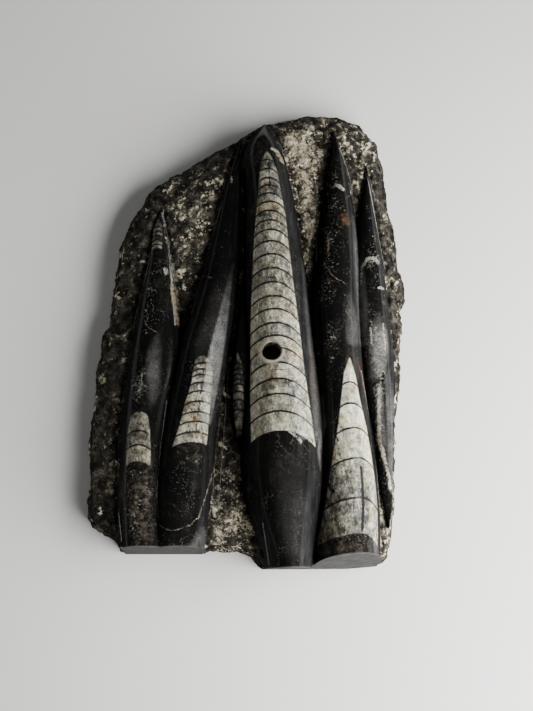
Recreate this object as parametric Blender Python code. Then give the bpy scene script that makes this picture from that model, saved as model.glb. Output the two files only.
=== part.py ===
"""Orthoceras fossil plaque: one stone, broken rough round its edge and sawn flat behind, with six
ground and polished ridges that fan out from its lower end.

Sizes are in millimetres and are turned into metres where a mesh is made. The stone lies on its sawn
back at z = 0, +Y runs from the cut lower end to the pointed tips, and +Z is the polished side.
"""

import math

import bmesh
import bpy
import numpy as np
from mathutils import Vector, noise

MM = 0.001

# The broken edge of the stone at its widest, clockwise from the lower left corner: x, y. Along the
# lower end it runs on past the ground end faces, which cut it off.
EDGE = [
    (-70, -128), (-71, -117), (-74, -113), (-81, -109), (-87, -106), (-89, -100), (-89.5, -90),
    (-88.5, -78), (-89.5, -58), (-88.5, -46), (-86.5, -30), (-87, -21), (-84.5, -10), (-84, 2),
    (-80, 7), (-79, 20), (-77, 40), (-73, 59), (-69, 69), (-63, 77), (-59, 86), (-52, 92),
    (-46, 96.5), (-40, 98), (-29, 106), (-17, 113), (-9, 117), (0, 123.5), (9, 128.5), (21, 130),
    (33, 133), (53, 132.5), (65, 127), (70, 121), (75, 116), (77, 106), (80, 84), (81.5, 72),
    (84, 64), (85, 46), (88.5, 33), (89.5, 21), (87, 16), (87.5, 9), (85, -12), (86, -21),
    (84, -37), (82, -50), (81, -90), (80.6, -98), (78.9, -111), (78, -116.8), (76.1, -122.5),
    (73.3, -125), (71.5, -129), (71.5, -136), (8.5, -136), (7.5, -127.8), (3.5, -124.7),
    (1, -121.5), (-4, -119.5), (-17, -118.5), (-22, -118.6), (-26, -121), (-28, -128),
]
# How the rough rock rises inward from that edge: distance in from the edge, height.
RISE = [(0, 9), (1.2, 14), (3.5, 18), (7.5, 21), (13, 23.5), (19, 25), (27, 26), (36, 26.4), (42, 26.5)]
UNDERCUT = [(3, 0), (1, 4)]
EDGE_POINTS = 144
INNER = (0.16, 0.42)
LUMP_SIZES = [(13.0, 2.4), (5.5, 1.3)]
WALL_LUMP = 1.6

# The ridges, from the cut end to the tip: y, left foot, right foot, height of the crest.
RIDGES = {
    "outer_left": [
        (-135, -69, -43, 32), (-110, -70, -43, 34), (-91, -71.5, -44, 36), (-75, -71.5, -43, 37),
        (-45, -70.5, -38, 37), (-17, -68, -33, 36), (10, -64, -36.5, 34), (35, -59.5, -41, 31),
        (48, -57, -44, 29), (62, -54.5, -47, 27), (73, -49.8, -48.6, 24),
    ],
    "inner_left": [
        (-134.5, -53, -25, 31), (-118, -53, -24, 33), (-102, -53, -20.5, 37), (-86, -52.5, -18, 40),
        (-72, -52, -17, 41), (-45, -48, -14.5, 42), (-26, -44, -11.5, 42), (-4, -39, -8.5, 41),
        (15, -33, -5.5, 39), (37, -26.5, -4, 36), (65, -20, -3.5, 33), (89, -14, -3.5, 30),
        (111, -6, -4.5, 25),
    ],
    "sliver": [
        (-64, -6.5, -4, 25), (-50, -10, 0, 34), (-30, -10.5, 2, 37), (-8, -9.5, 2, 37),
        (12, -6.5, 0, 33), (32, -4.5, -1.5, 26),
    ],
    "middle": [
        (-133, 10.2, 33, 48), (-119.4, 8, 35.4, 50), (-107.6, 3, 37.4, 51.5), (-91, -2.5, 41, 53),
        (-75, -5, 43, 54), (-48, -4, 43, 54), (-27, -2.5, 40.5, 54), (-2, -3, 37, 53),
        (15, -4, 35, 52), (36, -4, 32.5, 50), (55, -3.6, 29.5, 48), (76, -3.3, 26.5, 45),
        (89, -3.8, 24, 42), (103, -4.5, 21, 38), (112, -1, 16.5, 34), (118, 3.5, 13, 29),
        (123, 7.5, 10, 24),
    ],
    "right": [
        (-133.7, 35.3, 71.3, 42), (-112, 35.8, 71.8, 44), (-86, 36, 71.4, 45), (-64, 36, 69.4, 46),
        (-36, 35.5, 65.8, 46), (-15, 34, 64, 45), (19, 33.5, 63, 43), (41, 35, 63, 41),
        (62, 38, 61.5, 39), (79, 40.5, 59, 36), (93, 43, 56.5, 33), (107, 45.5, 53.5, 30),
        (119, 48, 49.5, 25),
    ],
    "outer_right": [
        (-106, 75.5, 79, 21), (-84, 71, 80.5, 27), (-60, 67, 81.4, 31), (-37, 63.5, 81.9, 33),
        (-12, 60, 80.9, 34), (18, 58, 78.5, 34), (40, 59, 76.5, 33), (60, 60, 73.5, 31),
        (76, 62, 71.5, 29), (88, 65, 70, 27), (97, 66.8, 67.8, 23),
    ],
}
FOOT_HEIGHT = 17.0
ROOT_HEIGHTS = [3.1, 3.6, 4.1, 4.6, 5.1, 5.6]
ROUNDING = (2.4, 0.56)
ARCH_POINTS = 15
STATION_STEP = 8.0

# The low polished apron in front of the two left ridges: its lower and upper corners.
APRON = ((-70.4, -132, 6.2), (-25.3, -97.3, 28))

# The ground end faces: x from, x to, y at the base, lean back from upright, turn about Z (degrees).
END_FACES = [
    (-100, -21, -120.0, 7.5, 0.0),
    (-8, 57, -128.2, 2.2, 0.3),
    (34.4, 101, -126.95, 11.3, 5.0),
]
CUTTER_SIZE = 160.0

HOLE = {"x": 12.6, "y": -14.2, "radius": 5.0, "floor": 26.0, "crest": 54.0}
HOLE_SIDES = 24
WORN_RIM = 1.2


def clear_scene():
    for obj in list(bpy.data.objects):
        bpy.data.objects.remove(obj)


def curve_through(table, at):
    """Values of the table's columns at the places asked for, on a smooth curve through its rows."""
    table = np.array(table, float)
    places, values = table[:, 0], table[:, 1:]
    slopes = np.gradient(values, places, axis=0)
    row = np.clip(np.searchsorted(places, at) - 1, 0, len(places) - 2)
    width = (places[row + 1] - places[row])[:, None]
    t = (at[:, None] - places[row][:, None]) / width
    start = (1 + 2 * t) * (1 - t) ** 2 * values[row] + t * (1 - t) ** 2 * width * slopes[row]
    end = t * t * (3 - 2 * t) * values[row + 1] + t * t * (t - 1) * width * slopes[row + 1]
    return start + end


def even_points(outline, count):
    """Points at even steps along the closed outline."""
    outline = np.array(outline + outline[:1], float)
    along = np.append(0, np.cumsum(np.linalg.norm(np.diff(outline, axis=0), axis=1)))
    at = np.linspace(0, along[-1], count, endpoint=False)
    return np.stack([np.interp(at, along, outline[:, axis]) for axis in range(2)], axis=1)


def lump(x, y, z, seed):
    """Height of the rock's lumps at a point, from noise of two sizes."""
    return sum(
        depth * noise.noise(Vector((x, y, z)) / size + Vector((seed, 0, size)))
        for size, depth in LUMP_SIZES
    )


def mesh_object(name, rings):
    """A closed solid through the rings of points, with a flat cap on the first and the last."""
    shape = bmesh.new()
    loops = [[shape.verts.new(Vector(point) * MM) for point in ring] for ring in rings]
    for low, high in zip(loops, loops[1:]):
        for i in range(len(low)):
            j = (i + 1) % len(low)
            shape.faces.new((low[i], low[j], high[j], high[i]))
    shape.faces.new(loops[0])
    shape.faces.new(loops[-1])
    bmesh.ops.recalc_face_normals(shape, faces=shape.faces)
    mesh = bpy.data.meshes.new(name)
    shape.to_mesh(mesh)
    shape.free()
    obj = bpy.data.objects.new(name, mesh)
    bpy.context.scene.collection.objects.link(obj)
    return obj


def rough_slab():
    """The broken slab: rings from the sawn back out to the edge, then in over the lumpy rock."""
    edge = even_points(EDGE, EDGE_POINTS)
    inward = edge * INNER - edge
    inward /= np.linalg.norm(inward, axis=1)[:, None]
    rings = []
    for level, (inset, height) in enumerate(UNDERCUT + RISE):
        ring = []
        for (x, y), (along_x, along_y) in zip(edge, inward):
            push = inset + (WALL_LUMP / 2 * lump(x, y, height, 7) if level else 0)
            x, y = x + push * along_x, y + push * along_y
            rise = lump(x, y, height, 3) if 2 < level < len(UNDERCUT + RISE) - 1 else 0
            ring.append((x, y, height + rise))
        rings.append(ring)
    return mesh_object("fossil_stone", rings)


def ridge(name, table, root):
    """One ridge: a rounded arch with straight sides that run down into the slab as far as its root."""
    places = np.arange(table[0][0], table[-1][0], STATION_STEP)
    places = np.append(places[table[-1][0] - places > STATION_STEP / 3], table[-1][0])
    across = np.sin(np.linspace(-math.pi / 2, math.pi / 2, ARCH_POINTS))
    power, roundness = ROUNDING
    arch = (1 - np.abs(across) ** power) ** roundness
    rings = []
    for y, (left, right, crest) in zip(places, curve_through(table, places)):
        middle, half = (left + right) / 2, (right - left) / 2
        ring = [(left, y, root)]
        ring += [(middle + half * u, y, FOOT_HEIGHT + (crest - FOOT_HEIGHT) * v) for u, v in zip(across, arch)]
        ring.append((right, y, root))
        rings.append(ring)
    return mesh_object(name, rings)


def box(name, lo, hi):
    corners = [(lo[0], lo[1]), (hi[0], lo[1]), (hi[0], hi[1]), (lo[0], hi[1])]
    return mesh_object(name, [[(x, y, z) for x, y in corners] for z in (lo[2], hi[2])])


def end_cutter(number, x_from, x_to, base_y, lean, turn):
    """A block whose upper face in +Y is the ground end face, leaning back and turned as given."""
    half = (x_to - x_from) / 2
    cutter = box(f"end_cutter_{number}", (-half, -CUTTER_SIZE, -CUTTER_SIZE), (half, 0, CUTTER_SIZE))
    cutter.location = Vector(((x_from + x_to) / 2, base_y, 0)) * MM
    cutter.rotation_euler = (-math.radians(lean), 0, math.radians(turn))
    return cutter


def hole_cutter():
    """The drilled hole, blind, with its rim worn back to a slight funnel."""
    radius, crest = HOLE["radius"], HOLE["crest"]
    profile = [
        (radius, HOLE["floor"]), (radius, crest - WORN_RIM),
        (radius + WORN_RIM, crest), (radius + WORN_RIM, crest + CUTTER_SIZE / 8),
    ]
    turns = [2 * math.pi * k / HOLE_SIDES for k in range(HOLE_SIDES)]
    rings = [
        [(HOLE["x"] + r * math.cos(a), HOLE["y"] + r * math.sin(a), z) for a in turns]
        for r, z in profile
    ]
    return mesh_object("hole_cutter", rings)


def combine(obj, other, operation):
    modifier = obj.modifiers.new(f"{operation} {other.name}".lower(), "BOOLEAN")
    modifier.operation = operation
    modifier.solver = "EXACT"
    modifier.object = other
    other.hide_render = True
    other.display_type = "WIRE"


def stone_material():
    material = bpy.data.materials.new("polished black limestone")
    material.use_nodes = True
    shader = material.node_tree.nodes["Principled BSDF"]
    shader.inputs["Base Color"].default_value = (0.030, 0.029, 0.026, 1)
    shader.inputs["Roughness"].default_value = 0.35
    shader.inputs["Metallic"].default_value = 0
    return material


def centre_on_base(stone):
    """Puts every object under one empty, and moves it so that the stone's box stands over the origin."""
    origin = bpy.data.objects.new("plaque_origin", None)
    bpy.context.scene.collection.objects.link(origin)
    for obj in bpy.data.objects:
        if obj is not origin:
            obj.parent = origin
    bpy.context.view_layer.update()
    corners = np.array(stone.evaluated_get(bpy.context.evaluated_depsgraph_get()).bound_box)
    middle = (corners.min(axis=0) + corners.max(axis=0)) / 2
    origin.location = (-middle[0], -middle[1], 0)


def main():
    clear_scene()
    stone = rough_slab()
    for (name, table), root in zip(RIDGES.items(), ROOT_HEIGHTS):
        combine(stone, ridge(f"{name}_ridge", table, root), "UNION")
    apron = box("apron", *APRON)
    combine(stone, apron, "UNION")
    for number, face in enumerate(END_FACES):
        combine(stone, end_cutter(number, *face), "DIFFERENCE")
    combine(stone, hole_cutter(), "DIFFERENCE")
    stone.data.materials.append(stone_material())
    centre_on_base(stone)


main()
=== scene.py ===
# %% [markdown]
# # An orthoceras plaque, dressed in Blender
#
# The real object is one piece of black limestone, about as long as a forearm. A carver sawed
# its back flat, left its edge broken, and ground six long ridges out of the upper side. Wherever a
# ridge cuts through a fossil shell, the shell shows as a pale cone crossed by dark chamber walls.
#
# The packed solid gives its place and its size. This script makes the same stone again as one fine
# mesh, and works out its colours, which a plain solid doesn't have.

import math
from types import SimpleNamespace

import bpy
import numpy as np
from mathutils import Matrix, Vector


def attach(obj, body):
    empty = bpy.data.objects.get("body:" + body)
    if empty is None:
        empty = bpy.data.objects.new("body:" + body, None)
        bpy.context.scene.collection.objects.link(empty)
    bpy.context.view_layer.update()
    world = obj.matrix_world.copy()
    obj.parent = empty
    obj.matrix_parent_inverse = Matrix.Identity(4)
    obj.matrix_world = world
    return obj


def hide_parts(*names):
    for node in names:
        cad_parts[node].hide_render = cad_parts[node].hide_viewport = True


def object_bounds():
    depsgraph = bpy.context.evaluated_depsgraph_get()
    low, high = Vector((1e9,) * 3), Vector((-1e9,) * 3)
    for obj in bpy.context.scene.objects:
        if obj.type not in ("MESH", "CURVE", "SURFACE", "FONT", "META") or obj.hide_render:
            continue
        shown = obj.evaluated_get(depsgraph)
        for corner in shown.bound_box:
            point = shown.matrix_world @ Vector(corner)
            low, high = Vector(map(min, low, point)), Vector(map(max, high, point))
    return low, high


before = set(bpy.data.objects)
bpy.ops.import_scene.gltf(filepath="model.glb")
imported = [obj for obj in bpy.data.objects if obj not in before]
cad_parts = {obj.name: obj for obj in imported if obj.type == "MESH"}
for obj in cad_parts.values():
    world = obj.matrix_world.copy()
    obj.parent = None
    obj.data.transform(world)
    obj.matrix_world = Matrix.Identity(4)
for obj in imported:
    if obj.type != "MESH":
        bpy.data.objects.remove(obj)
CAD_BOX = [list(corner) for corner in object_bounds()]
MM = 0.001
print("solid's box in mm:", [[round(v / MM, 1) for v in corner] for corner in CAD_BOX])

# %% [markdown]
# ## The stone's measures
#
# All of them are in millimetres on a plan of the stone seen from above, with +Y towards the pointed
# tips. They are the same sizes as the solid's, so that the fine mesh fills the same space. The edge is
# a list of corners. The slab's rise pairs a distance from the edge with a height. A ridge's row holds
# a place along it, its left and right foot, and the height of its crest. A ground end face is flat, so
# it is where it starts and ends across the stone, its place at the back, its lean and its turn.

# %% Edge, ridges and ground faces
EDGE = np.array([
    (-70, -128), (-71, -117), (-74, -113), (-81, -109), (-87, -106), (-89, -100), (-89.5, -90),
    (-88.5, -78), (-89.5, -58), (-88.5, -46), (-86.5, -30), (-87, -21), (-84.5, -10), (-84, 2),
    (-80, 7), (-79, 20), (-77, 40), (-73, 59), (-69, 69), (-63, 77), (-59, 86), (-52, 92),
    (-46, 96.5), (-40, 98), (-29, 106), (-17, 113), (-9, 117), (0, 123.5), (9, 128.5), (21, 130),
    (33, 133), (53, 132.5), (65, 127), (70, 121), (75, 116), (77, 106), (80, 84), (81.5, 72),
    (84, 64), (85, 46), (88.5, 33), (89.5, 21), (87, 16), (87.5, 9), (85, -12), (86, -21),
    (84, -37), (82, -50), (81, -90), (80.6, -98), (78.9, -111), (78, -116.8), (76.1, -122.5),
    (73.3, -125), (71.5, -129), (71.5, -136), (8.5, -136), (7.5, -127.8), (3.5, -124.7),
    (1, -121.5), (-4, -119.5), (-17, -118.5), (-22, -118.6), (-26, -121), (-28, -128),
])
RISE = np.array([
    (0, 9), (1.2, 14), (3.5, 18), (7.5, 21), (13, 23.5), (19, 25), (27, 26), (36, 26.4), (42, 26.5),
])
MIDDLE_SHARE = np.array((0.16, 0.42))

RIDGES = {
    "outer_left": [
        (-135, -69, -43, 32), (-110, -70, -43, 34), (-91, -71.5, -44, 36), (-75, -71.5, -43, 37),
        (-45, -70.5, -38, 37), (-17, -68, -33, 36), (10, -64, -36.5, 34), (35, -59.5, -41, 31),
        (48, -57, -44, 29), (62, -54.5, -47, 27), (73, -49.8, -48.6, 24),
    ],
    "inner_left": [
        (-135, -53, -25, 31), (-118, -53, -24, 33), (-102, -53, -20.5, 37), (-86, -52.5, -18, 40),
        (-72, -52, -17, 41), (-45, -48, -14.5, 42), (-26, -44, -11.5, 42), (-4, -39, -8.5, 41),
        (15, -33, -5.5, 39), (37, -26.5, -4, 36), (65, -20, -3.5, 33), (89, -14, -3.5, 30),
        (111, -6, -4.5, 25),
    ],
    "sliver": [
        (-64, -6.5, -4, 25), (-50, -10, 0, 34), (-30, -10.5, 2, 37), (-8, -9.5, 2, 37),
        (12, -6.5, 0, 33), (32, -4.5, -1.5, 26),
    ],
    "middle": [
        (-135, 10.2, 33, 48), (-119.4, 8, 35.4, 50), (-107.6, 3, 37.4, 51.5), (-91, -2.5, 41, 53),
        (-75, -5, 43, 54), (-48, -4, 43, 54), (-27, -2.5, 40.5, 54), (-2, -3, 37, 53),
        (15, -4, 35, 52), (36, -4, 32.5, 50), (55, -3.6, 29.5, 48), (76, -3.3, 26.5, 45),
        (89, -3.8, 24, 42), (103, -4.5, 21, 38), (112, -1, 16.5, 34), (118, 3.5, 13, 29),
        (123, 7.5, 10, 24),
    ],
    "right": [
        (-135, 35.3, 71.3, 42), (-112, 35.8, 71.8, 44), (-86, 36, 71.4, 45), (-64, 36, 69.4, 46),
        (-36, 35.5, 65.8, 46), (-15, 34, 64, 45), (19, 33.5, 63, 43), (41, 35, 63, 41),
        (62, 38, 61.5, 39), (79, 40.5, 59, 36), (93, 43, 56.5, 33), (107, 45.5, 53.5, 30),
        (119, 48, 49.5, 25),
    ],
    "outer_right": [
        (-106, 75.5, 79, 21), (-84, 71, 80.5, 27), (-60, 67, 81.4, 31), (-37, 63.5, 81.9, 33),
        (-12, 60, 80.9, 34), (18, 58, 78.5, 34), (40, 59, 76.5, 33), (60, 60, 73.5, 31),
        (76, 62, 71.5, 29), (88, 65, 70, 27), (97, 66.8, 67.8, 23),
    ],
}
FOOT = 17.0
ROUNDING = (2.4, 0.56)
APRON = {"x": (-70.4, -25.3), "y": (-132, -97.3), "height": 28}
END_FACES = [
    (-100, -21, -120.0, 7.5, 0.0),
    (-8, 57, -128.2, 2.2, 0.3),
    (34.4, 101, -126.95, 11.3, 5.0),
]
HOLE = {"x": 12.6, "y": -14.2, "radius": 5.0, "floor": 26.0, "crest": 54.0, "worn": 1.2}
print(len(RIDGES), "ridges,", len(EDGE), "points round the edge")

# %% [markdown]
# ## Curves and lumps
#
# A carved ridge changes smoothly along its length, so its feet and its crest are smooth curves
# through a few measured places. Broken rock does the opposite: it has lumps on top of lumps. Noise of
# several sizes added together gives that, and it needs only arithmetic on whole arrays.

# %% A smooth curve, and rock noise
def curve_through(table, at):
    """Cubic pieces through the table's rows; each row's slope is taken from its neighbours."""
    table = np.array(table, float)
    places, values = table[:, 0], table[:, 1:]
    slopes = np.gradient(values, places, axis=0)
    row = np.clip(np.searchsorted(places, at) - 1, 0, len(places) - 2)
    width = (places[row + 1] - places[row])[..., None]
    t = np.clip((at - places[row])[..., None] / width, 0, 1)
    start = (1 + 2 * t) * (1 - t) ** 2 * values[row] + t * (1 - t) ** 2 * width * slopes[row]
    end = t * t * (3 - 2 * t) * values[row + 1] + t * t * (t - 1) * width * slopes[row + 1]
    return start + end


def corner_turn(x, y, seed):
    """A steady pseudo-random angle for each whole-number corner, from a hash of its place."""
    mixed = (x * 374761393 + y * 668265263 + seed * 974634777) & 0xFFFFFFFF
    mixed = ((mixed ^ (mixed >> 13)) * 1274126177) & 0xFFFFFFFF
    return (mixed ^ (mixed >> 16)) % 6283 / 1000


def noise(x, y, seed):
    """Gradient noise: each corner of a unit grid slopes its own way, and the slopes are blended."""
    corner_x, corner_y = np.floor(x).astype(np.int64), np.floor(y).astype(np.int64)
    part_x, part_y = x - corner_x, y - corner_y
    ease_x = part_x ** 3 * (part_x * (6 * part_x - 15) + 10)
    ease_y = part_y ** 3 * (part_y * (6 * part_y - 15) + 10)
    total = 0
    for i in (0, 1):
        for j in (0, 1):
            turn = corner_turn(corner_x + i, corner_y + j, seed)
            slope = np.cos(turn) * (part_x - i) + np.sin(turn) * (part_y - j)
            weight = (ease_x if i else 1 - ease_x) * (ease_y if j else 1 - ease_y)
            total = total + weight * slope
    return 1.4 * total


def broken(x, y, seed, sizes):
    """Chipped rock: for each size, depth times a noise folded at zero, which makes sharp edges."""
    total = 0
    for number, (size, depth, fold) in enumerate(sizes):
        swell = noise(x / size, y / size, seed + number)
        total = total + depth * ((1 - fold) * swell + fold * (0.45 - 2 * np.abs(swell)))
    return total


print("noise at three places:", noise(np.array([0.5, 1.5, 2.5]), np.zeros(3), 11).round(2))

# %% [markdown]
# ## The height of the stone over its plan
#
# Seen from above, nothing on the upper side overhangs, so one number per place is enough: the height.
# The slab rises from its broken edge inwards. Each ridge is an arch across its width. The stone's
# height is the highest of them all, which is also what a union of solids would give.

# %% Slab and ridges as heights
def inward_from(points):
    """Unit directions from the edge towards the same outline shrunk to its middle share."""
    way = points * MIDDLE_SHARE - points
    return way / np.linalg.norm(way, axis=-1, keepdims=True)


def share_along(x, y, start, step):
    """Where on a straight stretch its nearest place lies: clip((p - start) . step / step . step)."""
    return np.clip(((x - start[0]) * step[0] + (y - start[1]) * step[1]) / (step @ step), 0, 1)


def distance_to_edge(x, y):
    """The least distance to any of the edge's straight stretches."""
    best = np.full(x.shape, np.inf)
    for start, end in zip(EDGE, np.roll(EDGE, -1, axis=0)):
        step = end - start
        along = share_along(x, y, start, step)
        best = np.minimum(best, np.hypot(x - start[0] - along * step[0], y - start[1] - along * step[1]))
    return best


def slab_height(x, y):
    """The slab rises from its edge inwards."""
    return np.interp(distance_to_edge(x, y), RISE[:, 0], RISE[:, 1])


def outside_apron(x, y):
    """Distance outside the apron, the low block between the two left ridges: negative on it."""
    (x_from, x_to), (y_from, y_to) = APRON["x"], APRON["y"]
    return np.maximum(np.maximum(x_from - x, x - x_to), np.maximum(y_from - y, y - y_to))


def ridge_arch(name, x, y):
    """Height of a ridge's arch, foot + (crest - foot) * (1 - |u| ** power) ** roundness, and the
    distance outside its nearer foot (negative on the ridge)."""
    table = RIDGES[name]
    left, right, crest = np.moveaxis(curve_through(table, y), -1, 0)
    half = (right - left) / 2
    u = (x - (left + right) / 2) / half
    power, roundness = ROUNDING
    arch = np.clip(1 - np.abs(u) ** power, 0, 1) ** roundness
    beyond = np.maximum(y - table[-1][0], table[0][0] - y)
    outside = np.maximum((np.abs(u) - 1) * half, beyond)
    return np.where(outside < 0, FOOT + (crest - FOOT) * arch, 0), outside


GROOVE = {"depth": 1.3, "width": 1.1, "smooth": 1.6}
ROCK = [(17, 2.2, 0.3), (7.5, 1.5, 0.6), (3.4, 0.75, 0.6), (1.9, 0.4, 0.4)]


def forms(x, y):
    """Heights of the slab, of each ridge and of the apron, one after another, and the distance outside
    the nearest foot of a ridge or of the apron."""
    arches, gaps = zip(*(ridge_arch(name, x, y) for name in RIDGES))
    apron = outside_apron(x, y)
    heights = np.stack([slab_height(x, y), *arches, np.where(apron < 0, APRON["height"], 0)])
    return heights, np.min([*gaps, apron], axis=0)


def stone_height(x, y, rough=1.0):
    """The highest of ridges, apron and slab + rock - groove. The slab's rock fades out and a groove
    sinks at the feet, both by exp(-(distance outside / width)^2). Also gives that distance."""
    heights, outside = forms(x, y)
    beyond = np.clip(outside, 0, None)
    rock = rough * (1 - np.exp(-(beyond / GROOVE["smooth"]) ** 2)) * broken(x, y, 11, ROCK)
    groove = GROOVE["depth"] * np.exp(-(beyond / GROOVE["width"]) ** 2)
    return np.maximum(heights[1:].max(axis=0), heights[0] + rock - groove), outside


def face_line(face, x, height):
    """Where a ground end face stands, in Y, at a place across it and a height."""
    x_from, x_to, base_y, lean, turn = face
    turned = math.radians(turn)
    across = (x - (x_from + x_to) / 2) * math.tan(turned)
    return base_y + across + height * math.tan(math.radians(lean)) / math.cos(turned)


at_hole = stone_height(np.array([HOLE["x"]]), np.array([HOLE["y"]]), 0)[0][0]
print("the stone is", at_hole.round(1), "mm high at the hole")

# %% [markdown]
# ## The edge loop
#
# The upper side is a grid laid between four curves, and the four curves are parts of one loop round
# the stone. The loop follows the broken edge a little way in, and the top corners of the ground faces
# along the lower end. Walking down from that same loop gives the sides.

# %% The loop round the top
ACROSS, ALONG = 250, 300
CORNERS = [(-71, -119), (77, -117), (74, 118), (-66, 73)]
EDGE_CHIPS = [(11, 1.3, 0.3), (4.6, 0.8, 0.5), (2.1, 0.35, 0.3)]
CHIP_STEP = 0.21
SETTLING_ROUNDS = 12
LOOP_PLACES = 3600
TOP_INSET, TOP_HEIGHT = RISE[2]


def evenly(points, count, closed=False):
    """The same path with its points at even steps."""
    path = np.vstack([points, points[:1]]) if closed else points
    along = np.append(0, np.cumsum(np.linalg.norm(np.diff(path, axis=0), axis=1)))
    at = np.linspace(0, along[-1], count, endpoint=not closed)
    return np.stack([np.interp(at, along, path[:, k]) for k in range(path.shape[1])], axis=1)


def cut_by_faces(x, y, height):
    """Moves places that lie beyond a ground end face back onto it."""
    for face in END_FACES:
        line = face_line(face, x, height)
        y = np.where((x > face[0]) & (x < face[1]), np.maximum(y, line), y)
    return y


def top_loop():
    """The edge, chipped and moved in to where the upper side starts, then cut by the end faces."""
    edge = evenly(EDGE, LOOP_PLACES, closed=True)
    chips = broken(np.arange(len(edge)) * CHIP_STEP, np.zeros(len(edge)), 5, EDGE_CHIPS)
    inner = edge + inward_from(edge) * (TOP_INSET + chips)[:, None]
    x, y, height = inner[:, 0], inner[:, 1], TOP_HEIGHT
    for _ in range(SETTLING_ROUNDS):
        y = cut_by_faces(x, inner[:, 1], height)
        height = stone_height(x, y, 0)[0]
    return np.stack([x, y], axis=1)


loop = top_loop()
starts = [int(np.argmin(np.hypot(*(loop - corner).T))) for corner in CORNERS]
print("loop of", len(loop), "places; corners at", [tuple(loop[s].round(1)) for s in starts])

# %% [markdown]
# ## The grid of the upper side
#
# A Coons patch fills the space between four curves: it blends across, blends along, and takes away
# what both of them counted twice. Its rows are then spaced by the length of the surface itself, not of
# the plan, because a steep flank needs as many faces as the crest. Last, the column nearest to each
# crease moves onto it, so that the valley between two ridges is one clean line of edges.

# %% Places on the plan
def sides(loop, starts):
    """Cuts the loop at the corners: lower, right, upper and left side, each with its own count."""
    parts = []
    for start, end, count in zip(starts, starts[1:] + starts[:1], (ACROSS, ALONG, ACROSS, ALONG)):
        places = np.arange(start, start - (start - end) % len(loop) - 1, -1)
        parts.append(evenly(loop[places % len(loop)], count))
    return parts


def coons(lower, right, upper, left):
    """Patch(u, v) = blend of lower and upper + blend of left and right - blend of the corners."""
    u, v = np.linspace(0, 1, ACROSS)[None, :, None], np.linspace(0, 1, ALONG)[:, None, None]
    between_ends = (1 - v) * lower[None] + v * upper[None]
    between_sides = (1 - u) * left[:, None] + u * right[:, None]
    corners = (1 - v) * ((1 - u) * lower[0] + u * lower[-1]) + v * ((1 - u) * upper[0] + u * upper[-1])
    return between_ends + between_sides - corners


def relaxed(plan, rounds=400):
    """Each inner place moves to the mean of its four neighbours, again and again, so nothing folds."""
    plan = plan.copy()
    for _ in range(rounds):
        plan[1:-1, 1:-1] = (plan[2:, 1:-1] + plan[:-2, 1:-1] + plan[1:-1, 2:] + plan[1:-1, :-2]) / 4
    return plan


lower, right, upper, left = sides(loop, starts)
plan = relaxed(coons(lower, right, upper[::-1], left[::-1]))
print("plan grid", plan.shape, "x from", plan[..., 0].min().round(1), "to", plan[..., 0].max().round(1))


# %% Columns by surface length, and creases caught
DENSE = 1600
SURFACE_SHARE = 0.7
CALM_ROWS = 9
CUT_ROUNDS = 4


def running_mean(rows, reach):
    """Each row becomes the mean of the rows around it, so that columns bend slowly."""
    padded = np.pad(rows, ((reach, reach), (0, 0)), mode="edge")
    total = np.cumsum(np.pad(padded, ((1, 0), (0, 0))), axis=0)
    return (total[2 * reach + 1:] - total[:-2 * reach - 1]) / (2 * reach + 1)


def spread_columns(plan):
    """Spaces each row's places by the length of the surface, then moves the nearest onto each crease."""
    fine, coarse = np.linspace(0, 1, DENSE), np.linspace(0, 1, ACROSS)
    spot = fine * (ACROSS - 1)
    cell = np.minimum(spot.astype(int), ACROSS - 2)
    part = (spot - cell)[None, :, None]
    rows = plan[:, cell] * (1 - part) + plan[:, cell + 1] * part
    height = stone_height(rows[..., 0], rows[..., 1], 0)[0]
    highest = np.argmax(forms(rows[..., 0], rows[..., 1])[0], axis=0)
    flat = np.hypot(*np.moveaxis(np.diff(rows, axis=1), -1, 0))
    step = SURFACE_SHARE * np.hypot(flat, np.diff(height, axis=1)) + (1 - SURFACE_SHARE) * flat
    length = np.cumsum(np.pad(step, ((0, 0), (1, 0))), axis=1)
    spread = np.stack([np.interp(coarse, row / row[-1], fine) for row in length])
    spread = running_mean(spread, CALM_ROWS)
    out = np.empty_like(plan)
    for i, places in enumerate(spread):
        for crease in np.flatnonzero(np.diff(highest[i])):
            at = (fine[crease] + fine[crease + 1]) / 2
            nearest = 1 + np.argmin(np.abs(places[1:-1] - at))
            places[nearest] = at
        out[i] = np.stack([np.interp(places, fine, rows[i, :, k]) for k in (0, 1)], axis=1)
    return out


plan = spread_columns(plan)
x, y = plan[..., 0], plan[..., 1]
for _ in range(CUT_ROUNDS):
    y = cut_by_faces(x, y, stone_height(x, y, 0)[0])
height, outside = stone_height(x, y)
top = np.stack([x, y, height], axis=-1)
print("upper side", top.shape, "highest", height.max().round(1), "mm")

# %% [markdown]
# ## The sides and the sawn back
#
# The edge of the grid is also the top of the sides. Each ring below it follows the same loop. On a
# ground face the ring stays in the face's plane, and anywhere else it bulges out to the broken edge
# and tucks in again towards the back. One point in the middle of the back closes the stone.

# %% Rings down to the back
RINGS = 17
SIDE_PROFILE = np.array([(0, 3), (4, 1), (9, 0), (14, 1.2), (18, 3.5)])
SIDE_ROCK = [(12, 1.6, 0.3), (5, 1.0, 0.6), (2.3, 0.45, 0.5)]
ROCK_SQUASH, CHIP_DEPTH = 1.3, 0.8
FACE_TOUCH = 0.15


def rim_of(grid):
    """The grid's outer places, once round."""
    return np.concatenate([grid[0, :-1], grid[:-1, -1], grid[-1, :0:-1], grid[:0:-1, 0]])


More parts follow.
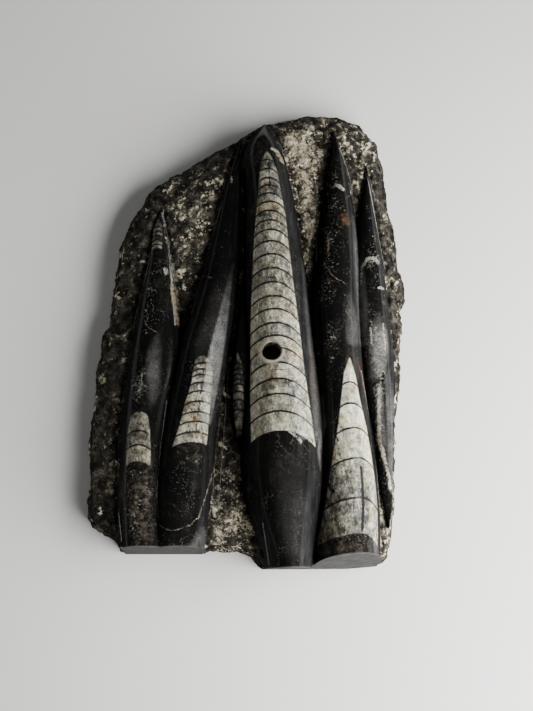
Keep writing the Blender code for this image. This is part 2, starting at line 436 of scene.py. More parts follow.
def on_face(rim):
    """For each place on the rim, the number of the ground face that it lies on, or -1."""
    found = np.full(len(rim), -1)
    for number, face in enumerate(END_FACES):
        near = np.abs(rim[:, 1] - face_line(face, rim[:, 0], rim[:, 2])) < FACE_TOUCH
        found[near & (rim[:, 0] > face[0]) & (rim[:, 0] < face[1])] = number
    return found


def side_rings(rim):
    """Place = rim + outward * (profile's bulge + chips), or the face's plane where the rim is on one.
    Bulge and chips grow from nothing over the top quarter, so that no step shows at the rim."""
    face = on_face(rim)
    outward = -inward_from(rim[:, :2])
    along = np.append(0, np.cumsum(np.hypot(*np.diff(rim[:, :2], axis=0).T)))
    rings = []
    for k in range(1, RINGS + 1):
        share = k / RINGS
        height = rim[:, 2] * (1 - share)
        bulge = TOP_INSET - np.interp(height, *SIDE_PROFILE.T)
        eased = np.clip(4 * share, 0, 1)
        chips = eased * broken(along, height * ROCK_SQUASH, 31, SIDE_ROCK)
        ring = rim[:, :2] + outward * (eased * bulge + CHIP_DEPTH * chips)[:, None]
        for number, measures in enumerate(END_FACES):
            lean = face_line(measures, rim[:, 0], height) - face_line(measures, rim[:, 0], rim[:, 2])
            plane = np.stack([rim[:, 0], rim[:, 1] + lean], axis=1)
            ring = np.where((face == number)[:, None], plane, ring)
        ring[:, 1] = cut_by_faces(ring[:, 0], ring[:, 1], height)
        rings.append(np.column_stack([ring, height]))
    return rings


rim = rim_of(top)
rings = side_rings(rim)
print(len(rings), "rings of", len(rim), "places;", (on_face(rim) >= 0).sum(), "of them on ground faces")

# %% [markdown]
# ## One closed mesh
#
# The grid, the rings and the middle of the back are numbered in one list of points. Quads join the
# grid and the rings, and triangles close the back.

# %% Joining grid, rings and back
def faces_between(high, low):
    """Quads that join two loops of the same number of places, from the higher down to the lower."""
    return np.stack([low, np.roll(low, -1), np.roll(high, -1), high], axis=-1)


def closed_faces(rows, columns, ring_count):
    """Quads for the grid and for the rings, which share the grid's rim, and a fan for the back."""
    number = np.arange(rows * columns).reshape(rows, columns)
    quads = np.stack([number[:-1, :-1], number[:-1, 1:], number[1:, 1:], number[1:, :-1]], axis=-1)
    loops = [rim_of(number)]
    size = len(loops[0])
    for k in range(ring_count):
        loops.append(rows * columns + k * size + np.arange(size))
    walls = [faces_between(high, low) for high, low in zip(loops, loops[1:])]
    middle = np.full(size, rows * columns + ring_count * size)
    fan = np.stack([middle, np.roll(loops[-1], -1), loops[-1]], axis=-1)
    return quads.reshape(-1, 4).tolist() + np.concatenate(walls).tolist() + fan.tolist()


middle_of_back = np.append(rings[-1][:, :2].mean(axis=0), 0)
points = np.concatenate([top.reshape(-1, 3), *rings, middle_of_back[None]])
faces = closed_faces(ALONG, ACROSS, RINGS)
print(len(points), "points and", len(faces), "faces")


# %% The mesh, fitted to the solid's box
PLAN_LOW, PLAN_HIGH = points.min(axis=0), points.max(axis=0)
BOX_LOW, BOX_HIGH = np.array(CAD_BOX)


def to_world(place):
    """From the plan's millimetres to the frame's metres. Each axis is stretched by well under one part
    in a hundred, so that the stone fills the solid's box exactly."""
    return BOX_LOW + (np.asarray(place, float) - PLAN_LOW) / (PLAN_HIGH - PLAN_LOW) * (BOX_HIGH - BOX_LOW)


def from_world(place):
    """Back from the frame's metres to the plan's millimetres."""
    return PLAN_LOW + (place - BOX_LOW) / (BOX_HIGH - BOX_LOW) * (PLAN_HIGH - PLAN_LOW)


def new_piece(name, points, faces):
    """An object at the origin whose mesh holds these points and faces."""
    mesh = bpy.data.meshes.new(name)
    mesh.from_pydata(points, [], faces)
    mesh.update()
    piece = bpy.data.objects.new(name, mesh)
    bpy.context.scene.collection.objects.link(piece)
    return piece


stone = new_piece("polished_plaque", to_world(points), faces)
print("stretched by", ((BOX_HIGH - BOX_LOW) / MM / (PLAN_HIGH - PLAN_LOW)).round(4))


# %% [markdown]
# ## The drilled hole
#
# A mason's bit leaves a round hole with a slightly crumbled rim. A turned profile, subtracted with a
# Boolean, cuts one that is truly round whatever the grid beneath is like. The lip's rows say how far
# it stands out from the hole's wall, and how high over the crest.

# %% Drilling
def turned(name, profile, centre, count=64):
    """A closed solid of revolution: radius and height pairs carried round an upright axis."""
    turn = np.linspace(0, 2 * np.pi, count, endpoint=False)
    ring = np.stack([np.cos(turn), np.sin(turn)], axis=-1)
    places = [np.column_stack([centre + radius * ring, np.full(count, height)])
              for radius, height in profile]
    number = np.arange(len(profile) * count).reshape(len(profile), count)
    quads = [faces_between(high, low) for low, high in zip(number, number[1:])]
    caps = [number[0, ::-1].tolist(), number[-1].tolist()]
    return new_piece(name, to_world(np.concatenate(places)), np.concatenate(quads).tolist() + caps)


def drill(piece, cutter):
    """Takes the cutter's shape out of the piece's mesh, and the cutter out of the scene."""
    cut = piece.modifiers.new("drilled hole", "BOOLEAN")
    cut.operation, cut.solver, cut.object = "DIFFERENCE", "EXACT", cutter
    graph = bpy.context.evaluated_depsgraph_get()
    drilled = bpy.data.meshes.new_from_object(piece.evaluated_get(graph))
    piece.modifiers.clear()
    piece.data = drilled
    bpy.data.objects.remove(cutter)


LIP = [(0, -1.6), (0.35, -0.7), (HOLE["worn"], 0.3), (HOLE["worn"], 20)]
bit = [(HOLE["radius"], HOLE["floor"])]
bit += [(HOLE["radius"] + out, HOLE["crest"] + up) for out, up in LIP]
drill(stone, turned("masonry_bit", bit, np.array((HOLE["x"], HOLE["y"]))))
print("after drilling:", len(stone.data.polygons), "faces")

# %% [markdown]
# ## Camera and light
#
# The stone lies on a pale table. The camera looks almost straight down from the lower end. The main
# light is a big soft window low on the right, which throws the shadow to the left. A smaller window
# higher up is the only one that the polish mirrors, as a thin sheen along the ridges. A wide ceiling
# light softens every shadow, and a low light on the left keeps the flanks there from going black.

# %% Camera
VIEW = {"target": (10.15, -14.5, 25.0), "distance": 600.0, "elevation": 80.0, "scale": 0.55}
PICTURE = (533, 711)
SENSOR = 36.0


def place_camera():
    """Far enough back that one picture width spans the wished number of millimetres at the target."""
    up = math.radians(VIEW["elevation"])
    away = Vector((0, -math.cos(up), math.sin(up))) * VIEW["distance"]
    camera = bpy.data.objects.new("camera", bpy.data.cameras.new("camera"))
    camera.location = (Vector(VIEW["target"]) + away) * MM
    camera.rotation_euler = (math.pi / 2 - up, 0, 0)
    camera.data.sensor_width = SENSOR
    camera.data.lens = SENSOR * VIEW["distance"] / (VIEW["scale"] * PICTURE[1])
    camera.data.clip_start = 0.01
    bpy.context.scene.collection.objects.link(camera)
    bpy.context.scene.camera = camera
    return camera


camera = place_camera()
print("lens", round(camera.data.lens, 1), "mm")


# %% Light and table
def window(name, place, aim, size, power, colour):
    """A soft rectangular light that faces its aim."""
    light = bpy.data.lights.new(name, "AREA")
    light.shape, light.size, light.size_y = "RECTANGLE", *size
    light.energy, light.color = power, colour
    lamp = bpy.data.objects.new(name, light)
    lamp.location = place
    lamp.rotation_euler = (Vector(aim) - Vector(place)).to_track_quat("-Z", "Y").to_euler()
    bpy.context.scene.collection.objects.link(lamp)
    return lamp


WARM, WHITE = (1.0, 0.99, 0.97), (1.0, 0.995, 0.97)
WINDOWS = [
    ("daylight", (0.38, -0.19, 0.21), (0, 0, 0.02), (0.6, 0.6), 15.5, WARM),
    ("side_window", (0.97, 0.15, 0.69), (0, 0, 0.02), (0.25, 0.5), 1.1, WARM),
    ("ceiling", (-0.1, 0.2, 1.9), (0, 0, 0), (1.6, 1.6), 2.15, WHITE),
    ("left_wall", (-0.55, 0.06, 0.11), (0, 0, 0.04), (0.6, 0.16), 0.9, WHITE),
]
MIRRORED = "side_window"
for measures in WINDOWS:
    window(*measures).visible_glossy = measures[0] == MIRRORED

room = bpy.data.worlds.new("room")
room.use_nodes = True
background = room.node_tree.nodes["Background"].inputs
background["Color"].default_value, background["Strength"].default_value = (*WHITE, 1), 0.04
bpy.context.scene.world = room

bpy.ops.mesh.primitive_plane_add(size=6, location=(0, 0, 0))
floor = bpy.context.object
floor.name = "table_top"
paint = bpy.data.materials.new("pale table")
paint.use_nodes = True
coat = paint.node_tree.nodes["Principled BSDF"].inputs
coat["Base Color"].default_value, coat["Roughness"].default_value = (0.72, 0.72, 0.71, 1), 0.55
floor.data.materials.append(paint)
print(len(WINDOWS), "lights round the table")

# %% [markdown]
# ## Where the fossils lie
#
# A cone shell is long and straight. Inside, curved walls cut it into chambers, and the last chamber,
# where the animal lived, is filled with black rock. The carver's ridge slices it, so on the plan each
# fossil is a narrow wedge crossed by arcs. Two smooth numbers at each point of the mesh say all of it:
# how far inside the wedge the point is, and how many walls lie between it and the tip. The material
# turns them into sharp outlines and thin walls, however near the camera comes.

# %% The wedges, and their chamber walls
FOSSILS = {
    "middle": {
        "edges": [(101.5, 9.6, 10.8), (96, 7.2, 13.6), (88.5, 5.9, 16.2), (76.5, 5.1, 18.0), (63, 3.9, 20.4),
                  (48.5, 2.8, 21.8), (34, 2.1, 23.4), (18, 1.5, 25.2), (5, 1.0, 26.9), (-8, 0.8, 28.4),
                  (-24.5, 0.8, 30.2), (-36, 0.9, 31.9), (-48, 1.1, 33.7), (-66, 1.6, 36.2)],
        "walls": [101.5, 95.9, 90, 84.1, 79.7, 74.8, 69.7, 64.4, 58.8, 53.3, 46.7, 39.2, 31.3, 23.4, 15.6,
                  8.5, 0.8, -6, -12.7, -20.5, -29.2, -37.1, -46.3, -56.9],
        "crest": [(100, 10.4), (40, 12.5), (-20, 16), (-60, 18)], "drop": (0.33, 0.48),
        "tone": [(-60, 0.74), (-10, 0.62), (60, 0.5), (100, 0.38)],
    },
    "right": {
        "edges": [(-16, 54.2, 54.8), (-25, 51, 57.6), (-39, 49.3, 60.2), (-53.5, 47.4, 63.6),
                  (-68, 44.9, 66.2), (-82, 42.6, 68.2), (-95, 40.6, 69.4), (-112, 37.0, 69.4),
                  (-122, 35, 69.4)],
        "walls": [-16, -29.7, -41, -54, -69.9, -90.6, -109.5],
        "crest": [(-20, 54.6), (-41, 55), (-54, 57), (-70, 59), (-112, 59.6)], "drop": (0.42, 0.46),
        "tone": [(-120, 0.38), (-95, 0.44), (-75, 0.6), (-40, 0.84)],
    },
    "inner_left": {
        "edges": [(-14.5, -25.2, -24.6), (-17, -28.6, -20.8), (-24, -29.8, -18.9), (-30.5, -30.8, -19.5),
                  (-41, -33.9, -20.2), (-52, -36.6, -21.1), (-64, -40.4, -22.2)],
        "walls": [-14.5, -19, -22.2, -25.1, -29.4, -34, -39.6, -45.2, -50.3, -55.9, -61.7],
        "crest": [(-16, -24.6), (-34, -24.8), (-62, -29)], "drop": (0.3, 0.16),
        "tone": [(-62, 0.58), (-24, 0.56), (-16, 0.3)],
    },
    "outer_left": {
        "edges": [(-43, -63, -56), (-47, -64, -53.7), (-54.5, -65.2, -52.5), (-65.4, -65.7, -51.9),
                  (-77, -65.7, -51.7)],
        "walls": [-44, -54.8, -62.3, -71.6],
        "crest": [(-44, -59), (-75, -58.8)], "drop": (0.42, 0.42),
        "tone": [(-72, 0.5), (-50, 0.42)],
    },
    "outer_left_tip": {
        "edges": [(67, -52.2, -51.2), (62, -54, -49.2), (55, -54.8, -48.4), (47, -55, -48.6)],
        "walls": [67, 64, 61, 58.5, 56, 53.2, 50.4, 47.8],
        "crest": [(67, -51.6), (47, -51.8)], "drop": (0.3, 0.3),
        "tone": [(47, 0.4), (67, 0.3)],
    },
    "sliver": {
        "edges": [(-12, -6.2, -5.6), (-18, -7.6, -3.4), (-28, -8.6, -2.4), (-40, -8.6, -2.2),
                  (-50, -7.4, -2.6), (-60, -6, -4)],
        "walls": [-12, -18.2, -21.4, -24.2, -26.8, -29.6, -33.5, -38, -43, -58],
        "crest": [(-12, -5.8), (-60, -5.2)], "drop": (0.3, 0.3),
        "tone": [(-60, 0.25), (-12, 0.36)],
    },
}
ARC_RADIUS = 1.287


def wedge(fossil, x, y):
    """Distance inside the wedge, chamber number counted from the tip, and the chamber's length.
    A wall is an arc: away from its crest it falls by drop * (radius - root(radius^2 - u^2)), where u
    runs from 0 at the crest to 1 at the wedge's edge, and each side has its own drop."""
    edges = np.array(fossil["edges"])[::-1]
    left, right = [np.interp(y, edges[:, 0], edges[:, k]) for k in (1, 2)]
    crest_y, crest_x = np.array(fossil["crest"])[::-1].T
    crest = np.clip(np.interp(y, crest_y, crest_x), left + 0.1, right - 0.1)
    half = np.where(x < crest, crest - left, right - crest)
    u = np.clip((x - crest) / half, -1.2, 1.2)
    bow = (ARC_RADIUS - np.sqrt(ARC_RADIUS ** 2 - u ** 2)) / (ARC_RADIUS - np.sqrt(ARC_RADIUS ** 2 - 1))
    drop_left, drop_right = fossil["drop"]
    arc_y = y + np.where(x < crest, drop_left, drop_right) * (right - left) / 2 * bow
    walls = np.array(fossil["walls"][::-1], float)
    count = np.arange(len(walls))[::-1].astype(float)
    number = np.interp(arc_y, walls, count)
    length = np.interp(arc_y, (walls[1:] + walls[:-1]) / 2, np.diff(walls))
    inside = np.minimum(np.minimum(x - left, right - x), np.minimum(arc_y - walls[0], edges[-1, 0] - y))
    return inside, number, length


def deepest_wedge(x, y):
    """For each place, the values of the fossil it lies deepest in, and that fossil's paleness."""
    best = [np.full(x.shape, -9.0), np.zeros_like(x), np.ones_like(x), np.zeros_like(x)]
    for fossil in FOSSILS.values():
        inside, number, length = wedge(fossil, x, y)
        here = inside > best[0]
        tone = np.interp(y, *np.array(fossil["tone"]).T)
        for k, value in enumerate((inside, number, length, tone)):
            best[k] = np.where(here, value, best[k])
    return best


walls = sum(len(fossil["walls"]) for fossil in FOSSILS.values())
print(len(FOSSILS), "fossils with", walls, "chamber walls")

# %% [markdown]
# ## Stains, scuffs, painted sheen and pale rock
#
# The rest of the colour changes slowly: rusty patches, brown mottling in the last chambers, places
# that the polishing wheel missed, and rock that is paler in one place than in another. Each is a soft
# oval with a strength, or a soft band along a line. Besides the places that the wheel missed, the bands
# hold painted sheen: grey and pale streaks laid on polished flanks and shell crests, where the polish
# would mirror the light.

# %% Soft ovals and bands
OVALS = {
    "pale": [
        (28, 114, 10, 13, 0.95), (29, 100, 9, 11, 0.9), (33, 84, 8, 16, 0.9), (34, 60, 5, 22, 0.95),
        (33, 40, 4, 8, 0.85), (-32, 82, 20, 12, 0.27), (-34, 66, 10, 14, 0.24), (-42, 40, 6, 18, 0.3),
        (-24, 60, 7, 26, 0.16), (55, 114, 20, 14, 0.42), (80, 60, 6, 60, 0.06),
        (-9, -96, 16, 26, 0.62), (-16, -104, 4, 16, 0.3), (74, -100, 8, 26, 0.75), (-78, 38, 5, 12, 0.45),
        (-70, 60, 8, 20, 0.12), (66, 95, 8, 14, 0.25), (80, -60, 6, 40, 0.2), (84, 30, 5, 30, 0.06),
    ],
    "brown": [
        (-58.5, -92, 8, 26, 0.8), (-31, -66, 8, 6, 0.35), (21, -72, 9, 10, 0.12),
        (53.5, 62, 2.6, 3.6, 1.0), (-14, -34, 5, 26, 0.4), (38, -30, 3.5, 30, 0.3),
        (2, 52, 4, 3, 0.5), (7, 66, 5, 3.4, 0.8), (15, 66, 4, 3, 0.7), (-52.5, 56, 4, 8, 0.6),
        (66, 4, 5, 10, 0.3), (64, -30, 2, 22, 0.6), (-28.5, -49, 2.5, 3, 1.0),
        (-27.5, -57, 3, 3, 0.9), (52, -116, 12, 6, 0.6), (6, 98, 6, 8, 0.3), (55, -20, 3, 5, 0.5),
    ],
    "mottle": [
        (-59.5, -34, 5, 8, 0.8), (-57, -22, 6, 8, 0.35), (-58.5, -96, 7.5, 30, 0.40), (-31, -70, 8, 6, 0.25),
        (70, -8, 6, 17, 0.75), (72, -30, 3, 12, 0.8), (70, -52, 2.6, 20, 0.7), (37.5, -16, 2.6, 12, 0.5),
        (44, -8, 4, 14, 0.4), (46, 82, 6, 14, 0.5), (44, 45, 6, 22, 0.5), (-54, 20, 6, 26, 0.34),
        (-12, -44, 5, 20, 0.35), (40, 20, 4, 10, 0.5), (70, 40, 5, 20, 0.4), (34, -55, 4, 10, 0.4),
        (57, -113, 8, 6, 0.1), (38, -113, 4, 6, 0.2), (12, -60, 8, 4, 0.15), (74, -90, 3, 14, 0.5),
    ],
}
# Bands of dull scuffs and of painted sheen. Some are scuffs; others lay painted reflections and highlights
# on polished flanks and shell crests, and one paints light into the shaded valley between the right and
# outer right ridges.
SCUFF_AND_SHEEN_BANDS = [
    ([(-8.7, 38.3, 0.5, 0.05), (-11.1, 22.8, 1.5, 0.3), (-13.6, 7.7, 2.4, 0.7), (-16.2, -5.7, 3.3, 1.0),
      (-18.6, -19.2, 3.9, 1.0), (-20.4, -34, 3.2, 0.9), (-22, -50, 2.0, 0.5)], 1.0),
    ([(-12, 30, 3, 0.02), (-20, 0, 6, 0.12), (-27, -12, 5, 0.05)], 8.0),
    ([(-49.5, -2, 1, 0.1), (-51.4, -12, 3, 0.4), (-51.8, -22, 3.4, 0.5), (-51.5, -33, 3, 0.4),
      (-52.4, -42, 1, 0.1)], 4.5),
    ([(58.8, 66, 0.8, 0.2), (60.0, 50, 1.6, 0.32), (61.0, 38, 2.2, 0.42), (62.0, 25, 2.6, 0.5),
      (62.6, 12, 2.6, 0.5), (62.8, -6, 2.0, 0.4)], 2.4),
    ([(71.5, 9, 1.0, 0.1), (71.5, 0, 4.6, 0.45), (71.4, -8, 5.4, 0.75), (70.6, -17, 4.6, 0.85),
      (68.0, -25, 2.0, 0.7)], 3.4),
    ([(71.2, -30, 1.2, 0.6), (71.6, -45, 2.0, 0.6), (73, -60, 1.6, 0.55), (74, -74, 0.8, 0.4)], 1.5),
    ([(55, -46, 0.6, 0.3), (57.0, -70, 1.2, 0.6), (58.0, -100, 1.0, 0.4)], 2.5),
    ([(26, -30, 0.8, 0.1), (29.5, -58, 2.4, 0.7)], 3.0),
    ([(20, -74, 7, 0.03), (23, -90, 7, 0.07), (24.5, -114, 7, 0.07)], 8.0),
    ([(55, 20, 1, 0.1), (56.5, 4, 3.2, 0.26), (56.5, -6, 3.4, 0.26)], 3.0),
    ([(75.5, -20, 1.2, 0.1), (77.6, -40, 2.8, 0.45), (79.0, -84, 3.2, 0.5)], 1.6),
    ([(30, 40, 0.6, 0.3), (33, 0, 1.2, 0.4), (35.5, -30, 1.8, 0.4), (37.5, -56, 2.2, 0.4),
      (39, -66, 1.0, 0.3)], 3.0),
    ([(39.8, -36, 0.6, 0.5), (40.4, -52, 1.2, 0.75), (37.8, -66, 1.0, 0.75), (38.6, -76, 0.3, 0.4)], 1.2),
    ([(-25.4, -106, 0.6, 0.2), (-23.5, -110, 3.0, 0.3), (-28, -117, 4.0, 0.3)], 2.4),
    ([(37.5, -108, 1.6, 0.2), (40, -118, 3.0, 0.28)], 1.6),
    ([(67, -112, 1.0, 0.3), (68.5, -120, 1.6, 0.35)], 1.6),
]


def ovals(table, x, y):
    """The sum of strength * exp(-(dx / width)^2 - (dy / height)^2) over the table's ovals."""
    total = 0
    for at_x, at_y, wide, high, strength in table:
        total = total + strength * np.exp(-((x - at_x) / wide) ** 2 - ((y - at_y) / high) ** 2)
    return np.clip(total, 0, 1)


def bands(table, x, y):
    """The strongest of strength * (1 - smooth step of the distance beyond the half width). A line's
    points hold x, y, half width and strength, and all four change evenly between two points."""
    best = np.zeros_like(x)
    for line, soft in table:
        for start, end in zip(np.array(line), np.array(line)[1:]):
            along = share_along(x, y, start, (end - start)[:2])
            near_x, near_y, half, strength = (start + along[:, None] * (end - start)).T
            t = np.clip((np.hypot(x - near_x, y - near_y) - half) / soft + 0.5, 0, 1)
            best = np.maximum(best, strength * (1 - t * t * (3 - 2 * t)))
    return best


print(sum(len(table) for table in OVALS.values()), "ovals and", len(SCUFF_AND_SHEEN_BANDS), "bands")

# %% [markdown]
# ## Numbers for the material
#
# A number stored at each point of the mesh is an attribute. It changes evenly over each face, and the
# material reads it by name. Some say where a place lies: over the rock, outside the feet, below the
# top, in the hole, on a ground face. The rest are the fossils' and the stains' from above. Two of them
# also carry painted light: the bands hold painted sheen, and the fossils' tone is raised on steep flanks.

# %% One number per point
FACE_NEAR = 0.35
BACK_NEAR, BACK_INSET = 0.3, 1.5
STEEP = {"flattest": 0.76, "range": 0.2, "most": 0.9}
RIM_RING = {"from_rim": 0.8, "width": 1.1}


def on_flat_face(x, y, z, outside):
    """1 on the ground end faces and on the sawn back inside its edge, 0 elsewhere."""
    found = (z < BACK_NEAR) & (outside < -BACK_INSET)
    for face in END_FACES:
        near = np.abs(y - face_line(face, x, z)) < FACE_NEAR
        found |= near & (x > face[0]) & (x < face[1])
    return found * 1.0


def hole_numbers(x, y, below):
    """drilled: 1 on the hole's wall and floor. halo: a pale ring round the rim, partly dust and
    partly painted light on the worn rim, which is exp(-((distance from the hole - from_rim) / width)^2),
    stronger towards the lower left, where the rim is painted as lit."""
    from_x, from_y = x - HOLE["x"], y - HOLE["y"]
    from_middle = np.hypot(from_x, from_y)
    drilled = (from_middle < HOLE["radius"] + HOLE["worn"] - 0.05) & (below > 0.25)
    ring = np.exp(-((from_middle - HOLE["radius"] - RIM_RING["from_rim"]) / RIM_RING["width"]) ** 2)
    # Painted light: the ring grows stronger towards the lower left, the side of the worn rim painted as lit.
    lit_lower_left = np.clip(0.6 - 0.4 * (from_x + from_y) / from_middle, 0, 1)
    return {"drilled": drilled * 1.0, "halo": ring * lit_lower_left}


def read_points(mesh, kind):
    """The points' places or normals, as three columns."""
    values = np.empty(len(mesh.vertices) * 3)
    mesh.vertices.foreach_get(kind, values)
    return values.reshape(-1, 3)


def numbers_for(mesh):
    """Every value by its name. steep: how far the surface leans past the flattest slope."""
    x, y, z = from_world(read_points(mesh, "co")).T
    inside, number, length, tone = deepest_wedge(x, y)
    heights, _ = forms(x, y)
    top_z, outside = stone_height(x, y, 0)
    steep = (STEEP["flattest"] - read_points(mesh, "normal")[:, 2]) / STEEP["range"]
    steep = np.clip(steep, 0, STEEP["most"])
    # tone is the fossil's paleness plus painted light: 0.25 * steep makes the shell paler on steep flanks,
    # where it would otherwise fall into shade.
    values = {"inside": inside, "chamber": number, "length": length, "tone": tone + 0.25 * steep,
              "over": np.clip(heights[1:].max(axis=0) - heights[0], -6, 6),
              "below": np.clip(top_z - z, 0, 60), "steep": steep,
              # The bands hold dull scuffs and painted sheen.
              "ground": on_flat_face(x, y, z, outside), "scuff": bands(SCUFF_AND_SHEEN_BANDS, x, y),
              "plan_x": x, "plan_y": y}
    return values | hole_numbers(x, y, top_z - z) | {name: ovals(OVALS[name], x, y) for name in OVALS}


def store(mesh, values):
    """Stores each value as an attribute on the points, and gives its least and its most."""
    for name, value in values.items():
        layer = mesh.attributes.new(name, "FLOAT", "POINT")
        layer.data.foreach_set("value", value.astype(np.float32))
    return {name: (round(float(v.min()), 2), round(float(v.max()), 2)) for name, v in values.items()}


print(store(stone.data, numbers_for(stone.data)))

# %% [markdown]
# ## Writing shader maths as sums
#
# A material is a graph of nodes, and its maths is hard to read as boxes and wires. A small class can
# wrap a socket so that `a * b + 1` adds the Math nodes by itself. A smooth step turns a distance in
# millimetres into a mask, and noise added to the distance first makes the mask's edge ragged.

# %% A socket that can be added and multiplied
class Value:
    """One output of a node tree, usable in sums. Each operation adds a Math node to the same tree."""

    def __init__(self, tree, socket):
        self.tree, self.socket = tree, socket

    def math(self, operation, *others):
        """Any operation of the Math node, with this value first."""
        return self.tree.node("ShaderNodeMath", {"operation": operation}, [self, *others])

    def __add__(self, other):
        return self.math("ADD", other)

    def __sub__(self, other):
        return self.math("SUBTRACT", other)

    def __mul__(self, other):
        return self.math("MULTIPLY", other)

    def __rsub__(self, other):
        return self.math("MULTIPLY", -1).math("ADD", other)

    __radd__, __rmul__ = __add__, __mul__

    def least(self, other):
        return self.math("MINIMUM", other)

    def most(self, other):
        return self.math("MAXIMUM", other)

    def size(self):
        return self.math("ABSOLUTE")

    def clamped(self):
        return self.tree.node("ShaderNodeClamp", {}, [self])

    def step(self, start, end):
        """0 up to start, 1 from end, and a smooth rise between; start may lie above end."""
        settings = {"interpolation_type": "SMOOTHSTEP", "clamp": False}
        inputs = {"Value": self, "From Min": start, "From Max": end}
        return self.tree.node("ShaderNodeMapRange", settings, inputs)


print("a value:", Value.__doc__)

# %% [markdown]
# ## A material that writes its own nodes
#
# Every other kind of node comes from one method: it takes the kind, the settings and the inputs. The
# noises work in millimetres of the object's own space, so a flake keeps its size on any stone. Stretched
# coordinates make grain that runs along the fossils.

# %% A finish and its nodes
class Finish:
    """A material's node tree with short ways to add what the stone's finish uses."""

    def __init__(self, name):
        self.material = bpy.data.materials.new(name)
        self.material.use_nodes = True
        self.nodes, self.links = self.material.node_tree.nodes, self.material.node_tree.links
        self.shader = self.nodes["Principled BSDF"]

    def node(self, kind, settings=None, inputs=None, out=0):
        """Adds a node: settings first, then its sockets by name or by order, and gives one output."""
        added = self.nodes.new(kind)
        for key, value in (settings or {}).items():
            if key == "stops":
                self.set_stops(added.color_ramp, value)
            else:
                setattr(added, key, value)
        pairs = inputs.items() if isinstance(inputs, dict) else enumerate(inputs or [])
        for key, value in pairs:
            self.join(added.inputs[key], value)
        return Value(self, added.outputs[out])

    def join(self, socket, value):
        """Links a value to the socket, or sets the socket to a constant."""
        if isinstance(value, Value):
            self.links.new(value.socket, socket)
        else:
            socket.default_value = value

    @staticmethod
    def set_stops(ramp, stops):
        """Gives a colour ramp these stops, each a place from 0 to 1 and a colour."""
        while len(ramp.elements) < len(stops):
            ramp.elements.new(0.5)
        for element, (place, colour) in zip(ramp.elements, stops):
            element.position, element.color = place, (*colour, 1)

    def number(self, name):
        """A number stored on the mesh's points."""
        return self.node("ShaderNodeAttribute", {"attribute_name": name}, out="Fac")

    def vector(self, operation, *values, out=0):
        """Maths on whole vectors."""
        return self.node("ShaderNodeVectorMath", {"operation": operation}, values, out=out)

    def place(self, stretch=(1, 1, 1), shift=(0, 0, 0)):
        """Object coordinates in millimetres, stretched and shifted."""
        source = self.node("ShaderNodeTexCoord", out="Object")
        scale = tuple(1 / MM * s for s in stretch)
        return self.node("ShaderNodeMapping", {}, {"Vector": source, "Scale": scale, "Location": shift})

    def jitter(self, amount, size, shift):
        """A number between about -amount / 2 and amount / 2 that changes over this many millimetres."""
        return (self.noise(size, 3, shift=shift) - 0.5) * amount

    def warped(self, amount, size, shift=(0, 0, 0)):
        """Places in millimetres pushed about by a noise, so that what is drawn gets a ragged edge."""
        push = [self.jitter(amount, size, (k, 4 - k, 2)) for k in range(3)]
        return self.vector("ADD", self.place(shift=shift), self.node("ShaderNodeCombineXYZ", {}, push))

    def plan(self, amount, size):
        """The place on the plan, pushed about in the same way, with z left out."""
        x = self.number("plan_x") + self.jitter(amount, size, (2, 0, 1))
        y = self.number("plan_y") + self.jitter(amount, size, (0, 3, 1))
        return self.node("ShaderNodeCombineXYZ", {}, [x, y, 0.0])

    def noise(self, size, detail=3.0, roughness=0.55, shift=(0, 0, 0), stretch=(1, 1, 1)):
        """Cloudy noise from 0 to 1 whose blobs are about this many millimetres."""
        where = self.place(tuple(s / size for s in stretch), shift)
        inputs = {"Vector": where, "Scale": 1.0, "Detail": detail, "Roughness": roughness}
        return self.node("ShaderNodeTexNoise", {}, inputs)

    def cells(self, size, where=None, feature="F1", out="Distance"):
        """Crystal-like cells about this many millimetres across."""
        where = self.vector("MULTIPLY", where or self.place(), (1 / size,) * 3)
        inputs = {"Vector": where, "Scale": 1.0}
        return self.node("ShaderNodeTexVoronoi", {"feature": feature}, inputs, out=out)

    def cell_number(self, size, where):
        """A random number from 0 to 1 that is the same over a whole cell."""
        middle = self.cells(size, where=where, out="Position")
        return self.node("ShaderNodeTexWhiteNoise", {"noise_dimensions": "3D"}, {"Vector": middle})

    def strokes(self, where, table, ragged):
        """Distance outside the nearest stroke, in millimetres: a stroke is a line and a half width.
        For each straight stretch it is |p - a - clamp((p - a) . d / d . d) d| - half width."""
        best = None
        for line, half in table:
            for start, end in zip(line, line[1:]):
                step = Vector((end[0] - start[0], end[1] - start[1], 0))
                away = self.vector("SUBTRACT", where, (*start, 0))
                along = self.vector("DOT_PRODUCT", away, tuple(step / step.length_squared), out="Value")
                nearest = self.node("ShaderNodeVectorMath", {"operation": "SCALE"}, {
                    "Vector": tuple(step), "Scale": along.clamped()})
                gap = self.vector("DISTANCE", away, nearest, out="Value") - half
                best = gap if best is None else best.least(gap)
        return best + self.jitter(0.45 * ragged, 1.7, (5, 5, 9))

    def ramp(self, value, stops):
        """Colour by value, blended evenly from stop to stop."""
        return self.node("ShaderNodeValToRGB", {"stops": stops}, {"Fac": value})

    def mix(self, share, first, second, kind="MIX"):
        """Colour: first where share is 0, second where it is 1."""
        colours = [c if isinstance(c, Value) else (*c, 1) for c in (first, second)]
        settings = {"data_type": "RGBA", "blend_type": kind}
        return self.node("ShaderNodeMix", settings, {0: share, 6: colours[0], 7: colours[1]}, out=2)

    def blend(self, share, first, second):
        """Number: first where share is 0, second where it is 1."""
        return self.node("ShaderNodeMix", {"data_type": "FLOAT"}, {0: share, 2: first, 3: second}, out=0)

    def bump(self, height, depth, below=None):
        """Tilts the light's normal as if the surface stood height * depth millimetres higher."""
        inputs = {"Height": height, "Distance": depth * MM, "Strength": 1.0}
        if below is not None:
            inputs["Normal"] = below
        return self.node("ShaderNodeBump", {}, inputs)

    def finish(self, **sockets):
        """Joins values to the shader's sockets; an underscore stands for a space."""
        for name, value in sockets.items():
            self.join(self.shader.inputs[name.replace("_", " ")], value)
        return self.material


print("a finish:", Finish.__doc__)
